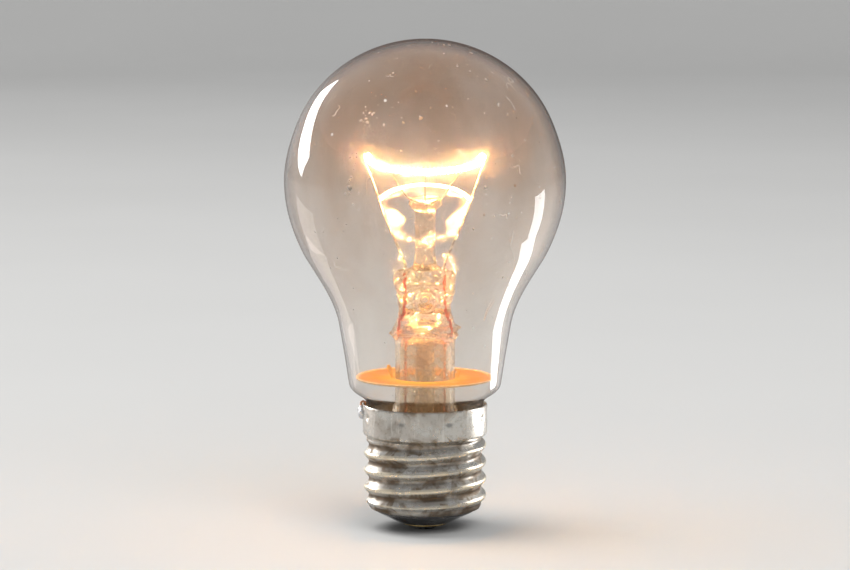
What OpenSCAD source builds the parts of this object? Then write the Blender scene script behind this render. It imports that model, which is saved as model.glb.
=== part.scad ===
// Clear-glass incandescent light bulb with an E27 screw cap.
// Frame: the bulb's axis is +Z and the tip of the centre contact is the origin.
// The filament's two ends lie on X, and it bows forward, towards -Y.

/* [Glass envelope] */
// Greatest diameter of the blown globe
globe_d = 60; // [50:0.5:64]
// Overall length, from the tip of the centre contact to the crown
overall_l = 105; // [102:0.5:132]
// Wall of the blown glass
glass_wall = 0.7; // [0.5:0.05:1]
// How far below its equator the globe stays round, in degrees
globe_turn = 35; // [25:1:40]
// Diameter of the neck where it starts to round in to the cap
neck_d = 32.6; // [31:0.2:34]
// Taper of the neck on each side, in degrees
neck_taper = 9; // [4:1:14]
// Height of that place above the cap's rim
neck_rise = 4.5; // [4:0.5:6]

/* [Screw cap] */
// Length of the cap, from the tip of the contact to the rim
cap_h = 27; // [26:0.5:30]
// Diameter over the crests of the thread
thread_d = 26.3; // [21:0.05:32]
// Depth of the thread
thread_depth = 1.1; // [0.9:0.05:1.3]
// Rise of the thread in one turn
thread_pitch = 3.629; // [3:0.001:4]
// Thickness of the cap's sheet metal
cap_sheet = 0.3; // [0.2:0.05:0.4]
// Length of the plain collar above the thread
collar_l = 6.5; // [5:0.5:8]
// Diameter of the contact plate
contact_d = 9.6; // [8:0.2:11]
// Height of the black glass that shows below the shell
insulator_h = 3.2; // [2.5:0.1:4]
// Layer of basing cement between the neck and the collar
cement_t = 0.8; // [0.6:0.05:1]

/* [Stem] */
// Outer diameter of the stem tube
stem_d = 12.8; // [10.6:0.1:15.4]
// Wall of the stem tube
stem_wall = 1; // [0.8:0.1:1.2]
// Length of the envelope's tail inside the cap, down to the seal
tail_l = 5; // [4:0.5:6]
// Height of the flare that joins the stem tube to the tail
flare_h = 7; // [5:0.5:8]
// Height of the shoulder between the tube and the press
shoulder_h = 4.5; // [3.5:0.5:6]
// Width of the flat press
press_w = 12.8; // [11.6:0.2:15.4]
// Thickness of the press
press_t = 4.6; // [4.2:0.2:6]
// Length of the press above the shoulder
press_l = 10.7; // [9:0.1:13]
// Diameter of the exhaust port through the press
port_d = 3.5; // [3:0.1:4]
// Depth of the port's centre below the top of the press
port_drop = 6.6; // [5:0.1:7]
// Outer diameter of the exhaust tube
exhaust_d = 4; // [3:0.1:4.4]
// Wall of the exhaust tube
exhaust_wall = 0.6; // [0.4:0.05:0.8]
// Height of the tube's melted tip above the contact
tip_z = 8; // [7:0.5:10]
// Diameter of the glass rod
rod_d = 4.3; // [3.6:0.1:5.2]
// Length of the rod, from the press to the button
rod_l = 12.6; // [10:0.1:15.2]
// Diameter of the button
button_d = 7; // [6:0.1:8.4]
// Height of the button
button_h = 2.7; // [2.2:0.1:3.3]

/* [Filament and wires] */
// Distance between the filament's two ends
filament_span = 24.4; // [20:0.2:29.4]
// How far the filament bows forward of its ends
filament_bow = 10; // [8:0.2:12]
// How far the filament sags below its ends
filament_sag = 2.4; // [1:0.1:4]
// Height of the filament's ends above the globe's centre
filament_rise = 5; // [3:0.5:6]
// Outer diameter of the coiled filament
coil_d = 1.1; // [0.9:0.05:1.4]
// Diameter of the coil's own strand
strand_d = 0.3; // [0.25:0.01:0.36]
// Length of one turn of the coil
coil_pitch = 0.75; // [0.6:0.01:0.9]
// Height of the filament's ends above the button
support_rise = 8.5; // [7:0.5:10]
// Diameter of the support wires
support_d = 0.3; // [0.25:0.01:0.4]
// Angle between one support wire and the next, in degrees
support_step = 35; // [20:1:40]
// Diameter of the lead wires
lead_d = 0.5; // [0.4:0.02:0.7]
// Distance between the two lead wires in the press
lead_gap = 8.4; // [7.6:0.1:10]
// Diameter of the thin fuse wire
fuse_d = 0.2; // [0.15:0.01:0.3]
// Outer diameter of the glass sleeve over the fuse
sleeve_d = 1.8; // [1.6:0.1:2.2]
// Length of the sleeve
sleeve_l = 7; // [5:0.5:9]

/* [Heat deflector] */
// Diameter of the deflector disc
disc_d = 29.6; // [24:0.2:30.2]
// Thickness of its sheet
disc_t = 0.25; // [0.2:0.05:0.4]
// Depth of the disc below the shoulder
disc_drop = 8.6; // [7:0.1:10]
// Height of the taller tab that grips the stem
tab_h = 3; // [2:0.1:4]
// Width of each tab
tab_w = 1.8; // [1.4:0.1:3]

/* [Fits] */
// Gap between pieces that are sealed or pressed together
seal_gap = 0.04; // [0.02:0.01:0.08]
// Gap between pieces that only lie against each other
loose_gap = 0.1; // [0.05:0.01:0.2]

/* [Hidden] */
$fn = 64;

// Heights, from the crown down to the shoulder
globe_r = globe_d / 2;
globe_z = overall_l - globe_r;
filament_z = globe_z + filament_rise;
button_top = filament_z - support_rise;
rod_top = button_top - button_h;
press_top = rod_top - rod_l;
press_bottom = press_top - press_l;
shoulder_z = press_bottom - shoulder_h;
disc_z = shoulder_z - disc_drop;
port_z = press_top - port_drop;

// Cap: radii and levels
thread_r = thread_d / 2;
root_r = thread_r - thread_depth;
collar_r = thread_r + 0.2;
collar_z = cap_h - collar_l;
shell_z = 1.3 + insulator_h;
lip_r = root_r - 1.4;
contact_z = 0.9;
contact_t = 0.4;
eyelet_r = 1.5;
eyelet_wall = 0.5;

// The envelope's tail and the seal inside the cap
tail_r = collar_r - cap_sheet - cement_t;
tail_top = cap_h - 0.6;
cement_top = cap_h - 1.9;
seal_z = cap_h - tail_l;
neck_z = cap_h + neck_rise;

// Stem
stem_r = stem_d / 2;
bore_r = stem_r - stem_wall;
flare_r = tail_r - glass_wall - seal_gap;
flare_top = seal_z + flare_h;
shoulder_floor = shoulder_z + 1.6;
exhaust_r = exhaust_d / 2;

// Wires
lead_r = lead_d / 2;
lead_x = lead_gap / 2;
weld_low = shoulder_z + 0.4;
weld_high = press_top - 1.6;
coil_r = coil_d / 2;
support_n = 3;
support_r = support_d / 2;
side_lead_r = cement_t / 2 - loose_gap * 1.5;
shell_sides = 40;
cement_r = (collar_r - cap_sheet) * cos(180 / shell_sides) - seal_gap;
solder_x = collar_r + side_lead_r + loose_gap;
fuse_x = exhaust_r + sleeve_d / 2 + 0.8;
sleeve_z = tip_z + 2.5;

// ---------------------------------------------------------------- helpers

// Point of a cubic Bezier curve with the four control points p
function bezier(p, t) =
    pow(1 - t, 3) * p[0] + 3 * t * pow(1 - t, 2) * p[1]
    + 3 * t * t * (1 - t) * p[2] + pow(t, 3) * p[3];

// Smooth step from 0 at a to 1 at b
function ease(x, a, b) = let (t = min(1, max(0, (x - a) / (b - a)))) t * t * (3 - 2 * t);

// Corners of a w by h rectangle whose corners have radius r
function rounded_rect(w, h, r) = [
    for (corner = [0:3], a = [0:18:90])
        let (
            sx = (corner == 0 || corner == 3) ? 1 : -1,
            sy = corner < 2 ? 1 : -1
        )
        [sx * (w / 2 - r), sy * (h / 2 - r)] + r * [cos(90 * corner + a), sin(90 * corner + a)]
];

// Closed skin over a list of rings that all have the same number of points
module skin(rings, loop = false) {
    n = len(rings[0]);
    last = len(rings) - 1;
    points = [for (ring = rings) each ring];
    sides = [
        for (i = [0:loop ? last : last - 1], k = [0:n - 1])
            let (
                a = i * n + k,
                b = i * n + (k + 1) % n,
                c = ((i + 1) % (last + 1)) * n + k,
                d = ((i + 1) % (last + 1)) * n + (k + 1) % n
            )
            each [[a, b, d], [a, d, c]]
    ];
    ends = loop ? [] : [[for (k = [n - 1:-1:0]) k], [for (k = [0:n - 1]) last * n + k]];
    polyhedron(points, concat(sides, ends));
}

// A round wire of radius r along a route of [x, z] points in the plane y = 0
module wire(route, r, sides = 8) {
    last = len(route) - 1;
    skin([
        for (i = [0:last])
            let (
                along = route[min(i + 1, last)] - route[max(i - 1, 0)],
                t = along / norm(along)
            )
            [for (k = [0:sides - 1])
                let (a = 360 * k / sides)
                [route[i][0] - t[1] * r * cos(a), r * sin(a), route[i][1] + t[0] * r * cos(a)]]
    ]);
}

// Open hook of radius r round the point c, for a wire that arrives from the point from
function hook(c, r, from, turn = 250) =
    let (start = atan2(c[1] - from[1], c[0] - from[0]) - 90)
    [for (a = [0:25:turn]) c + r * [cos(start + a), sin(start + a)]];

// ---------------------------------------------------------------- glass

// One side of the envelope's outline, from the crown to the seal, inset from the outside
function envelope_side(inset) =
    let (
        r = globe_r - inset,
        low = [r * cos(globe_turn), globe_z - r * sin(globe_turn)],
        neck = [neck_d / 2 - inset, neck_z],
        tail = [tail_r - inset, tail_top],
        reach = norm(low - neck) * 0.38,
        waist = [low, low - reach * [sin(globe_turn), cos(globe_turn)],
                 neck + reach * [sin(neck_taper), cos(neck_taper)], neck],
        turn_in = [neck, neck - 2.6 * [sin(neck_taper), cos(neck_taper)],
                   tail + [0, 2.6], tail]
    )
    concat(
        [for (a = [90:-5:5 - globe_turn]) [r * cos(a), globe_z + r * sin(a)]],
        [for (i = [0:14]) bezier(waist, i / 14)],
        [for (i = [1:8]) bezier(turn_in, i / 8)],
        [[tail_r - inset, seal_z]]
    );

module glass_envelope() {
    inner = envelope_side(glass_wall);
    color([0.75, 0.8, 0.82, 0.35])
        rotate_extrude()
            polygon(concat(envelope_side(0), [for (i = [len(inner) - 1:-1:0]) inner[i]]));
}

// Outline of the flare, from the seal up: a quarter of an ellipse that opens downwards
function flare_side(inset) = [
    for (a = [0:15:90])
        [stem_r - inset + (flare_r - stem_r) * (1 - sin(a)), seal_z + flare_h * (1 - cos(a))]
];

module stem_body() {
    outer = concat(
        flare_side(0),
        [[stem_r, shoulder_z], [stem_r + 0.5, shoulder_z + 1.4], [stem_r + 0.1, shoulder_z + 2.6],
         [stem_r * 0.8, shoulder_z + shoulder_h], [stem_r * 0.45, press_bottom + 0.7],
         [0, press_bottom + 1]]
    );
    inner = concat(
        flare_side(stem_wall),
        [[bore_r, shoulder_z - 0.6], [bore_r * 0.9, shoulder_z + 0.7],
         [bore_r * 0.62, shoulder_floor], [0, shoulder_floor]]
    );
    rotate_extrude()
        polygon(concat(outer, [for (i = [len(inner) - 1:-1:0]) inner[i]]));
}

module press() {
    intersection() {
        translate([0, 0, press_bottom - 1])
            linear_extrude(press_l + 1)
                polygon(rounded_rect(press_w, press_t, press_t * 0.45));
        translate([0, press_w / 2, press_bottom - 1 + press_l / 2])
            rotate([90, 0, 0])
                linear_extrude(press_w)
                    polygon(rounded_rect(press_w, press_l + 2, 1.6));
    }
}

module stem_glass() {
    countersink = 0.9;
    color([0.85, 0.8, 0.72, 0.5])
        difference() {
            union() {
                stem_body();
                press();
            }
            for (x = [-lead_x, lead_x])
                translate([x, 0, shoulder_z - 1])
                    cylinder(h = press_top - shoulder_z + 2, r = lead_r + seal_gap);
            translate([0, 0, shoulder_z])
                cylinder(h = port_z - shoulder_z, r = exhaust_r - exhaust_wall);
            translate([0, press_w / 2, port_z])
                rotate([90, 0, 0])
                    cylinder(h = press_w, d = port_d);
            for (side = [-1, 1])
                translate([0, side * press_t / 2, port_z])
                    rotate([side * -90, 0, 0])
                        translate([0, 0, -countersink])
                            cylinder(h = countersink + 0.1, d1 = port_d, d2 = port_d + 1.8);
        }
}

// The tube ends in a cone that was melted shut
module exhaust_tube() {
    bore = exhaust_r - exhaust_wall;
    color([0.8, 0.85, 0.85, 0.5])
        rotate_extrude()
            polygon([
                [0, tip_z], [0.6, tip_z + 0.2], [exhaust_r, tip_z + 4],
                [exhaust_r, shoulder_floor], [bore, shoulder_floor],
                [bore, tip_z + 4.3], [0.3, tip_z + 1.6], [0, tip_z + 1.5]
            ]);
}

// Glass rod with the button that was melted on its end
module arbor_rod() {
    rod_r = rod_d / 2;
    button_r = button_d / 2;
    round_r = button_h * 0.42;
    color([0.9, 0.82, 0.7, 0.6])
        difference() {
            rotate_extrude()
                polygon(concat(
                    [[0, press_top], [rod_r, press_top], [rod_r, rod_top - 0.7]],
                    [[rod_r + 0.25, rod_top - 0.2]],
                    [for (a = [-90:18:0])
                        [button_r - round_r, rod_top + round_r] + round_r * [cos(a), sin(a)]],
                    [for (a = [0:18:90])
                        [button_r - round_r, button_top - round_r] + round_r * [cos(a), sin(a)]],
                    [[0, button_top]]
                ));
            for (i = [0:support_n - 1])
                rotate([0, 0, support_turn(i)])
                    wire([support_root, support_root + 2.2 * (support_elbow(i) - support_root)
                          / norm(support_elbow(i) - support_root)], support_r + seal_gap);
        }
}

// ---------------------------------------------------------------- filament

// Point of the filament's middle line at the angle a, which is 180 at its left end
function filament_at(a) = [
    filament_span / 2 * cos(a),
    filament_bow * sin(a),
    filament_z - filament_sag * abs(sin(a))
];

// Coil of one strand, wound round the middle line
module filament() {
    past_hook = 4;
    steps_per_turn = 8;
    middle_l = 3.1416 * (filament_span / 2 + filament_bow) / 2;
    turns = round(middle_l / coil_pitch);
    wind_r = coil_r - strand_d / 2;
    color([1, 0.8, 0.45])
        skin([
            for (i = [0:turns * steps_per_turn])
                let (
                    a = 180 - past_hook + (180 + 2 * past_hook) * i / (turns * steps_per_turn),
                    ahead = filament_at(a + 0.5) - filament_at(a - 0.5),
                    t = ahead / norm(ahead),
                    flat = cross([0, 0, 1], t),
                    n = flat / norm(flat),
                    b = cross(t, n),
                    w = 360 * i / steps_per_turn,
                    out = cos(w) * n + sin(w) * b
                )
                [for (k = [0:4])
                    filament_at(a) + wind_r * out
                    + strand_d / 2 * (cos(-72 * k) * out + sin(-72 * k) * t)]
        ]);
}

// Angle of support i along the filament, its direction from the axis and its reach
function support_angle(i) = 270 + (i - (support_n - 1) / 2) * support_step;
function support_turn(i) = atan2(filament_at(support_angle(i))[1], filament_at(support_angle(i))[0]);
function support_end(i) =
    let (p = filament_at(support_angle(i)))
    [norm([p[0], p[1]]), p[2]];
function support_elbow(i) = [support_end(i)[0] * 0.55, button_top - button_h * 0.5 + 1.6];
support_root = [button_d / 2 - 1.7, button_top - button_h * 0.5];

// Each support stands in the button and ends in an open eye round the coil
module support_wire(i) {
    eye = hook(support_end(i), coil_r + support_r + loose_gap / 2, support_elbow(i), 300);
    color([0.75, 0.62, 0.5])
        rotate([0, 0, support_turn(i)])
            wire(concat([support_root, support_elbow(i)], eye), support_r);
}

module support_wire_left() { support_wire(0); }
module support_wire_middle() { support_wire(floor((support_n - 1) / 2)); }
module support_wire_right() { support_wire(support_n - 1); }

// ---------------------------------------------------------------- leads

// Nickel lead from the weld in the press up to its hook on the filament's end
module inner_lead(side) {
    end = [filament_span / 2, filament_z];
    foot = [lead_x, press_top + 0.5];
    rise = foot + 0.06 * (end - foot);
    color([0.8, 0.7, 0.55])
        mirror([side < 0 ? 1 : 0, 0, 0])
            wire(concat([[lead_x, weld_high], foot, rise],
                        hook(end, coil_r + lead_r + loose_gap / 2, rise)), lead_r);
}

module inner_lead_left() { inner_lead(-1); }
module inner_lead_right() { inner_lead(1); }

// Copper-coated wire that is sealed into the press
module seal_wire(side) {
    color([0.75, 0.25, 0.12])
        translate([side * lead_x, 0, weld_low])
            cylinder(h = weld_high - weld_low, r = lead_r, $fn = 24);
}

module seal_wire_left() { seal_wire(-1); }
module seal_wire_right() { seal_wire(1); }

// Runs down the stem tube, under the seal and up through the cement to the cap's rim
module side_lead() {
    channel = tail_r + cement_t / 2;
    color([0.8, 0.45, 0.25])
        mirror([1, 0, 0])
            wire([
                [lead_x, weld_low], [lead_x, seal_z + 1], [lead_x + 1, seal_z - 0.6],
                [channel - 1.2, seal_z - 1.4], [channel - 0.3, seal_z - 1],
                [channel, seal_z], [channel, cement_top + 0.2], [channel + 0.17, cap_h - 0.3],
                [channel + 0.22, cap_h + 0.15], [channel + 0.5, cap_h + 0.38],
                [collar_r + 0.1, cap_h + 0.34], [solder_x, cap_h], [solder_x, cap_h - 1]
            ], side_lead_r);
}

module contact_lead_upper() {
    color([0.8, 0.45, 0.25])
        wire([
            [lead_x, weld_low], [lead_x, seal_z + 2], [fuse_x, seal_z - 1],
            [fuse_x, sleeve_z + sleeve_l - 1.5]
        ], lead_r);
}

module fuse_wire() {
    color([0.85, 0.85, 0.85])
        translate([fuse_x, 0, sleeve_z + 1.5])
            cylinder(h = sleeve_l - 3, d = fuse_d, $fn = 16);
}

module fuse_sleeve() {
    color([0.8, 0.85, 0.9, 0.5])
        translate([fuse_x, 0, sleeve_z])
            difference() {
                cylinder(h = sleeve_l, d = sleeve_d);
                translate([0, 0, -1])
                    cylinder(h = sleeve_l + 2, r = lead_r + loose_gap);
            }
}

// Runs from the fuse into the eyelet of the contact plate
module contact_lead_lower() {
    color([0.8, 0.45, 0.25])
        wire([
            [fuse_x, sleeve_z + 1.5], [fuse_x, sleeve_z - 1], [fuse_x * 0.5, contact_z + 5],
            [0.1, contact_z + 3.4], [0, contact_z + 2.4], [0, contact_z]
        ], lead_r);
}

// ---------------------------------------------------------------- deflector

// Stamped disc with a curled rim, and two tabs that grip the stem tube
module heat_deflector() {
    hole_r = stem_r + loose_gap;
    disc_r = disc_d / 2;
    color([0.95, 0.6, 0.1])
        translate([0, 0, disc_z])
            union() {
                rotate_extrude()
                    polygon([
                        [hole_r, 0], [disc_r - 0.7, 0], [disc_r - 0.15, 0.2], [disc_r, 0.5],
                        [disc_r - 0.25, 0.6], [disc_r - 0.4, 0.4], [disc_r - 0.8, disc_t],
                        [hole_r, disc_t]
                    ]);
                for (tab = [[180, tab_h], [14, tab_h * 0.5]])
                    rotate([0, 0, tab[0]])
                        translate([hole_r + 0.3, -tab_w / 2, disc_t / 2])
                            rotate([0, 18, 0])
                                cube([disc_t, tab_w, tab[1]]);
            }
}

// ---------------------------------------------------------------- cap

// Radius of the shell's outside: the thread fades in above the lip and out at the collar
function shell_r(z, turn) =
    let (
        fade = ease(z, shell_z + 0.6, shell_z + 2) * (1 - ease(z, collar_z - 1.6, collar_z - 0.2)),
        wave = 0.5 + 0.5 * cos(360 * z / thread_pitch - turn),
        plain = root_r + (collar_r - root_r) * ease(z, collar_z - 1, collar_z + 0.4)
    )
    plain + (thread_r - root_r) * wave * fade;

// Drawn sheet shell: a lip under the black glass, the round thread, the collar and its rim
module cap_shell() {
    around = shell_sides;
    row_h = thread_pitch / 7;
    rows = ceil((collar_z + 0.4 - shell_z - 0.6) / row_h);
    levels = concat(
        [for (i = [0:rows]) shell_z + 0.6 + (collar_z - 0.2 - shell_z) * i / rows],
        [cap_h - 0.8, cap_h]
    );
    function ring(r, z) = [
        for (k = [0:around - 1])
            [r * cos(360 * k / around), r * sin(360 * k / around), z]
    ];
    function wall(z, inset) = [
        for (k = [0:around - 1])
            let (a = 360 * k / around, r = shell_r(z, a) - inset)
            [r * cos(a), r * sin(a), z]
    ];
    bend_r = root_r - 0.35;
    outer = concat(
        [ring(lip_r, shell_z - 0.2), ring(bend_r, shell_z)],
        [for (z = levels) wall(z, 0)]
    );
    inner = concat(
        [ring(lip_r, shell_z - 0.2 + cap_sheet), ring(bend_r - cap_sheet * 0.6, shell_z + cap_sheet)],
        [for (z = levels) wall(z, cap_sheet)]
    );
    color([0.72, 0.7, 0.66])
        skin(concat(outer, [for (i = [len(inner) - 1:-1:0]) inner[i]]), loop = true);
}

// Black glass that holds the contact plate and fills the bottom of the shell
module cap_insulator() {
    bore = eyelet_r + seal_gap;
    full_r = root_r - cap_sheet - loose_gap;
    neck_r = lip_r - seal_gap;
    plate_z = contact_z + contact_t;
    color([0.08, 0.07, 0.08])
        rotate_extrude()
            polygon([
                [bore, plate_z], [contact_d / 2 + 0.5, plate_z], [neck_r, shell_z - 0.6],
                [neck_r, shell_z + 0.5], [neck_r + 0.5, shell_z + 0.9],
                [full_r - 0.3, shell_z + 1], [full_r, shell_z + 1.5], [full_r, shell_z + 3.2],
                [full_r - 1.8, shell_z + 3], [neck_r * 0.6, shell_z + 0.4],
                [bore + 1, shell_z - 0.4], [bore, shell_z - 0.6]
            ]);
}

// Brass plate with a hollow eyelet that takes the contact lead
module contact_plate() {
    color([0.8, 0.65, 0.3])
        rotate_extrude()
            polygon([
                [eyelet_r - eyelet_wall, contact_z], [contact_d / 2 - 0.3, contact_z],
                [contact_d / 2, contact_z + 0.2], [contact_d / 2, contact_z + contact_t],
                [eyelet_r, contact_z + contact_t], [eyelet_r, shell_z - 0.8],
                [eyelet_r - eyelet_wall, shell_z - 0.8]
            ]);
}

// Solder that closes the eyelet: its tip is pressed flat by the holder's spring
module contact_solder() {
    flat_r = 1.4;
    foot_r = 3;
    color([0.65, 0.65, 0.66])
        difference() {
            rotate_extrude()
                polygon(concat(
                    [[0, 0], [flat_r, 0]],
                    [for (a = [15:15:90])
                        [flat_r + (foot_r - flat_r) * sin(a), contact_z * (1 - cos(a))]],
                    [[eyelet_r - eyelet_wall - seal_gap, contact_z],
                     [eyelet_r - eyelet_wall - seal_gap, contact_z + 1.2], [0, contact_z + 1.2]]
                ));
            translate([0, 0, contact_z - seal_gap])
                cylinder(h = 3, r = lead_r + seal_gap);
        }
}

// Domed solder blob that joins the side lead to the cap's rim
module side_solder() {
    blob_r = 1.7;
    blob_h = 1.1;
    blob_z = cap_h - blob_r;
    color([0.65, 0.65, 0.66])
        difference() {
            translate([-collar_r, 0, blob_z])
                rotate([0, -90, 0])
                    rotate_extrude()
                        polygon(concat(
                            [[0, -0.5], [blob_r, -0.5]],
                            [for (a = [0:15:90]) [blob_r * cos(a), blob_h * sin(a)]]
                        ));
            cylinder(h = 2 * cap_h, r = collar_r + loose_gap, $fn = 240);
            translate([-solder_x, 0, cap_h - 1 - seal_gap])
                cylinder(h = 3, r = side_lead_r + seal_gap);
        }
}

// Ring of basing cement between the tail and the collar, with a channel for the side lead. Its
// outside stays within the flats of the many-sided shell.
module basing_cement() {
    channel = tail_r + cement_t / 2;
    color([0.8, 0.76, 0.66])
        difference() {
            translate([0, 0, seal_z + 0.2])
                cylinder(h = cement_top - seal_z - 0.2, r = cement_r);
            cylinder(h = 2 * cap_h, r = tail_r + seal_gap);
            translate([-channel, 0, 0])
                cylinder(h = 2 * cap_h, r = cement_t / 2 - loose_gap);
        }
}

glass_envelope();
stem_glass();
exhaust_tube();
arbor_rod();
filament();
support_wire_left();
support_wire_middle();
support_wire_right();
inner_lead_left();
inner_lead_right();
seal_wire_left();
seal_wire_right();
side_lead();
contact_lead_upper();
fuse_wire();
fuse_sleeve();
contact_lead_lower();
heat_deflector();
cap_shell();
cap_insulator();
contact_plate();
contact_solder();
side_solder();
basing_cement();
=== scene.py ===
"""Looks of a clear-glass light bulb with a screw cap, standing lit on a pale floor.

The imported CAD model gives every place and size. The glass, the wires, the filament, the deflector,
the cap and the solder are rebuilt here as fine surfaces, each worked out with numpy as a function
of two parameters: once round, and once along a profile or a path.
"""

import math

import bpy
import numpy as np
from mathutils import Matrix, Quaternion, Vector


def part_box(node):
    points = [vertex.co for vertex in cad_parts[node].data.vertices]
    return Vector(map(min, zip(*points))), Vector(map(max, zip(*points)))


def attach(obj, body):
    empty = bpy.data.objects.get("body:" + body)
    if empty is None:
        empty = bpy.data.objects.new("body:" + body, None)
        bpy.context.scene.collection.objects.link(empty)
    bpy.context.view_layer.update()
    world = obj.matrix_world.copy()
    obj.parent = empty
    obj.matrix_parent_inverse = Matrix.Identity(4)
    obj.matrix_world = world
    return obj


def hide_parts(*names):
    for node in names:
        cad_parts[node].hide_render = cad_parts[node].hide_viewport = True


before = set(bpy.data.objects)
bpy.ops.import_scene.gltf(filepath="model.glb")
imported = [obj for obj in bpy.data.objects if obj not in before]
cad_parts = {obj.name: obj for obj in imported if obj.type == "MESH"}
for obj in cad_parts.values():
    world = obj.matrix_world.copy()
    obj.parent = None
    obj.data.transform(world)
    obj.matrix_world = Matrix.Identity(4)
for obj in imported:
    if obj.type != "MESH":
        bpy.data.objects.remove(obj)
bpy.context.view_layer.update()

MM = 0.001
TAU = 2 * math.pi
QUARTER = math.pi / 2
CENTRE = 0.02 * MM  # the smallest radius of a profile that closes on the axis

# -------- sizes, from the frame

GLASS_LOW, GLASS_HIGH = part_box("glass_envelope")
GLOBE_R = (GLASS_HIGH[0] - GLASS_LOW[0]) / 2
CROWN_Z = GLASS_HIGH[2]
GLOBE_Z = CROWN_Z - GLOBE_R
SEAL_Z = GLASS_LOW[2]

SHELL_LOW, SHELL_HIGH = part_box("cap_shell")
RIM_Z = SHELL_HIGH[2]
SHELL_Z = SHELL_LOW[2] + 0.2 * MM
COLLAR_R = SHELL_HIGH[0]
COLLAR_Z = RIM_Z - 6.5 * MM
THREAD_R = COLLAR_R - 0.2 * MM
ROOT_R = THREAD_R - 1.1 * MM
THREAD_PITCH = 3.629 * MM
CAP_SHEET = 0.3 * MM
LIP_R = ROOT_R - 1.4 * MM

FLARE_R, _, PRESS_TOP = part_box("stem_glass")[1]
PRESS_BOTTOM = PRESS_TOP - 10.7 * MM
PRESS_T = 4.6 * MM
SHOULDER_Z = PRESS_BOTTOM - 4.5 * MM
PORT_Z = PRESS_TOP - 6.6 * MM
STEM_R = 6.4 * MM
STEM_WALL = 1.0 * MM

BUTTON_R, _, BUTTON_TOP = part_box("arbor_rod")[1]
BUTTON_H = 2.7 * MM
ROD_R = 2.15 * MM
DISC_LOW, DISC_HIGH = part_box("heat_deflector")
DISC_R = DISC_HIGH[0]

# Glass walls and the neck
GLASS_WALL = 0.7 * MM
NECK_R = 16.3 * MM
NECK_Z = RIM_Z + 4.5 * MM
NECK_TAPER = math.radians(9)
GLOBE_TURN = math.radians(35)
TAIL_R = COLLAR_R - CAP_SHEET - 0.8 * MM
TAIL_TOP = RIM_Z - 0.6 * MM

# Filament and wires
FILAMENT_Z = GLOBE_Z + 5 * MM
FILAMENT_HALF = 12.2 * MM
FILAMENT_BOW = 10 * MM
FILAMENT_SAG = 2.4 * MM
COIL_R = 0.55 * MM
STRAND_R = 0.15 * MM
COIL_PITCH = 0.75 * MM
FILAMENT_LIGHT = 330.0
FILAMENT_GLARE = 2200.0
SUPPORT_R = 0.15 * MM
SUPPORT_ANGLES = {"left": 235, "middle": 270, "right": 305}
LEAD_R = 0.25 * MM
LEAD_X = 4.2 * MM
WELD_HIGH = PRESS_TOP - 1.6 * MM
WELD_LOW = SHOULDER_Z + 0.4 * MM


# -------- surfaces

def ease(x, a, b):
    """0 below a, 1 above b and a smooth cubic between: t*t*(3 - 2t) with t = (x - a) / (b - a)."""
    t = np.clip((x - a) / (b - a), 0, 1)
    return t * t * (3 - 2 * t)


def hump(x, middle, width):
    """1 at the middle, falling to 0 on both sides of it: exp(-((x - middle) / width)^2)."""
    return np.exp(-((x - middle) / width) ** 2)


def ripple(x, y, seed, octaves=4):
    """Smooth unevenness between about -1 and 1: a sum of sines of x and y, each octave twice as
    fine and half as strong, with phases drawn from the seed."""
    rng = np.random.default_rng(seed)
    total = np.zeros(np.broadcast(x, y).shape)
    for octave in range(octaves):
        a, b, c, d = rng.uniform(0.6, 1.4, 2).tolist() + rng.uniform(0, TAU, 2).tolist()
        k = 2.0 ** octave
        total = total + np.sin(a * k * x + c + 1.3 * np.sin(b * k * y + d)) / k
    return total / 2


def stacked(*parts):
    """Arrays and numbers put together as the coordinates of points."""
    return np.stack(np.broadcast_arrays(*parts), axis=-1)


def turned(r, z, a):
    """Points at radius r and height z, turned about Z by the angle a: (r cos a, r sin a, z)."""
    return stacked(r * np.cos(a), r * np.sin(a), z)


def once_round(count):
    """Equal steps of angle once round."""
    return np.arange(count) * TAU / count


def unit(vectors):
    """The vectors, each at length 1."""
    return vectors / np.maximum(np.linalg.norm(vectors, axis=-1, keepdims=True), 1e-9)


def along_corners(points, s):
    """Points on the straight lines between corners, where s = 0, 1, 2 ... are the corners."""
    p = np.asarray(points)
    k = np.arange(len(p))
    return stacked(np.interp(s, k, p[:, 0]), np.interp(s, k, p[:, 1]))


def bezier(points, steps):
    """A cubic Bezier curve with four control points, without its first point."""
    p = np.asarray(points, float)
    t = np.linspace(0, 1, steps + 1)[1:, None]
    return ((1 - t) ** 3 * p[0] + 3 * t * (1 - t) ** 2 * p[1] + 3 * t ** 2 * (1 - t) * p[2]
            + t ** 3 * p[3])


def smooth_path(points, steps):
    """A Catmull-Rom curve through the points, with the given number of steps in each span."""
    p = np.asarray(points, float)
    p = np.vstack([2 * p[0] - p[1], p, 2 * p[-1] - p[-2]])
    t = np.linspace(0, 1, steps, endpoint=False)[None, :, None]
    a, b, c, d = (p[k:len(p) - 3 + k][:, None] for k in range(4))
    spans = 0.5 * (2 * b + (c - a) * t + (2 * a - 5 * b + 4 * c - d) * t ** 2
                   + (3 * b - a - 3 * c + d) * t ** 3)
    return np.vstack([spans.reshape(-1, p.shape[1]), p[-2]])


def hook(centre, radius, start, turn=250):
    """Points (s, z) of an open hook round centre, for a wire that arrives from the point start:
    it begins where the arriving line touches the circle and runs turn degrees round it."""
    first = math.atan2(centre[1] - start[1], centre[0] - start[0]) - QUARTER
    a = first + np.radians(np.arange(0, turn + 1, 12))
    return centre + radius * stacked(np.cos(a), np.sin(a))


def new_object(name, data):
    """An object with the given mesh, lamp or camera, in the scene."""
    made = bpy.data.objects.new(name, data)
    bpy.context.scene.collection.objects.link(made)
    return made


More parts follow.
